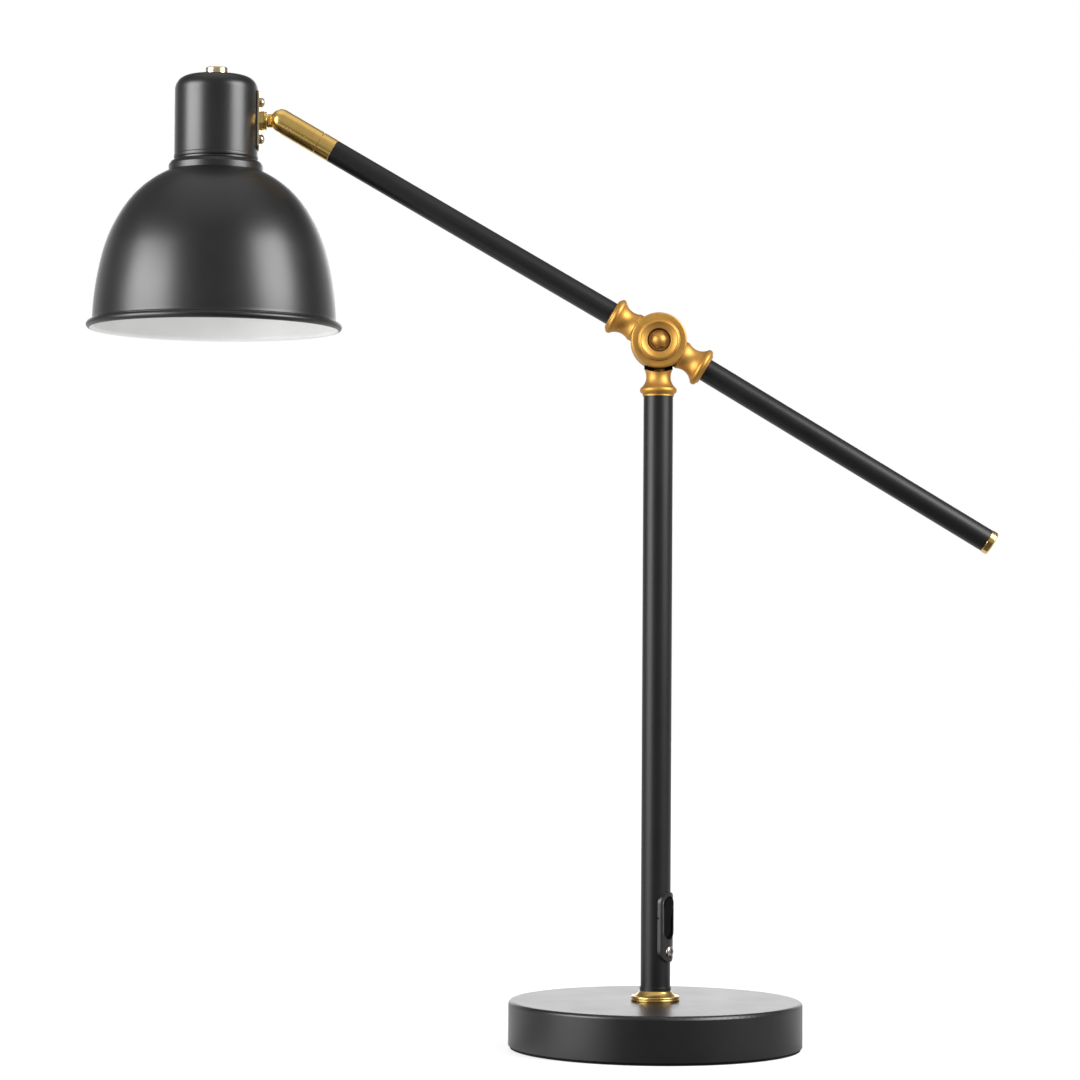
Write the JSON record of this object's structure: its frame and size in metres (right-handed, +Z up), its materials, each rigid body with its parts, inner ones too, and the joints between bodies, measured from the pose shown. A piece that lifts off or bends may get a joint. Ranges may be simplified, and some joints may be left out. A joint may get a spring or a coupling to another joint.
{
  "type": "desk lamp",
  "caption": "Balance-arm desk lamp: weighted disc base, post with pole switch, brass pivot, counterweighted arm, swivel barrel and tilting dome shade.",
  "frame": {"origin": "centre of the base's underside, on the surface the lamp stands on", "axes": "+Z up, +X towards the counterweight end of the arm, +Y away from the user's side, where the cord enters the base"},
  "size_m": [0.4954, 0.161, 0.5299],
  "materials": {
    "felt": "black felt",
    "black_metal": "satin black powder coat",
    "shade_enamel": "satin black outside, satin white inside",
    "cast_iron": "rough casting",
    "polished_brass": "polished",
    "satin_brass": "satin",
    "antique_brass": "satin antique",
    "steel": "plated",
    "black_rubber": "matte",
    "black_plastic": "satin moulded",
    "gloss_black": "gloss moulded",
    "nylon": "natural nylon",
    "lead_sheath": "cable sheath",
    "plain_brass": "pressed sheet",
    "bulb_metal": "pressed",
    "bulb_glass": "frosted white"
  },
  "bodies": {
    "stand": {"base_felt_pad": "felt", "base_shell": "black_metal", "base_weight": "cast_iron", "base_collar": "polished_brass", "column_foot_ring": "black_metal", "base_nipple": "steel", "base_lock_nut": "steel", "base_lock_washer": "steel", "cord_inlet_bush": "black_rubber", "column_tube": "black_metal", "column_foot_plug": "steel", "switch_bezel": "black_plastic", "switch_body": "black_plastic", "switch_rocker_pin": "steel", "switch_screw": "steel", "column_knuckle": "antique_brass", "column_top_sleeve": "steel", "hub_bolt": "steel", "hub_cap_nut": "antique_brass", "hub_friction_disc": "nylon", "hub_seal_ring": "black_rubber", "hub_front_washer": "antique_brass", "hub_rear_washer": "antique_brass", "supply_lead": "lead_sheath", "column_lead": "lead_sheath"},
    "rocker": {"switch_rocker": "gloss_black"},
    "arm": {"arm_knuckle": "antique_brass", "long_arm_tube": "black_metal", "counter_arm_tube": "black_metal", "long_arm_sleeve": "steel", "counter_arm_sleeve": "steel", "counterweight_rod": "steel", "counter_arm_end_cap": "polished_brass", "long_arm_collar": "satin_brass", "long_arm_lead": "lead_sheath"},
    "swivel": {"swivel_barrel": "satin_brass", "swivel_retaining_ring": "steel", "swivel_seat_cup": "nylon", "swivel_spring_washers": "steel"},
    "head": {"swivel_stem": "satin_brass", "stem_nut": "satin_brass", "stem_inner_nut": "satin_brass", "hinge_plate": "satin_brass", "hinge_gasket": "black_rubber", "hinge_screws": "satin_brass", "hinge_screw_nuts": "steel", "shade": "shade_enamel", "shade_cap": "black_metal", "cap_finial": "polished_brass", "socket_nipple": "steel", "cap_lock_nut": "steel", "cap_lock_washer": "steel", "lamp_socket": "black_plastic", "socket_screw_shell": "plain_brass", "socket_contact": "plain_brass", "bulb_cap": "bulb_metal", "bulb_glass": "bulb_glass"}
  },
  "joints": [
    {"name": "arm_pivot", "type": "hinge", "parent": "stand", "child": "arm", "pos_m": [0, 0, 0.382], "axis": [0, 1, 0], "range_deg": [-60, 4]},
    {"name": "head_roll", "type": "hinge", "parent": "arm", "child": "swivel", "pos_m": [-0.18529, 0, 0.48897], "axis": [-0.866, 0, 0.5], "range_deg": [-90, 90]},
    {"name": "shade_tilt", "type": "hinge", "parent": "swivel", "child": "head", "pos_m": [-0.20603, 0, 0.50095], "axis": [0, -1, 0], "range_deg": [-30, 35]},
    {"name": "switch_rocker_tip", "type": "hinge", "parent": "stand", "child": "rocker", "pos_m": [0.00445, -0.00323, 0.0702], "axis": [-0.5878, -0.809, 0], "range_deg": [0, 8]}
  ]
}
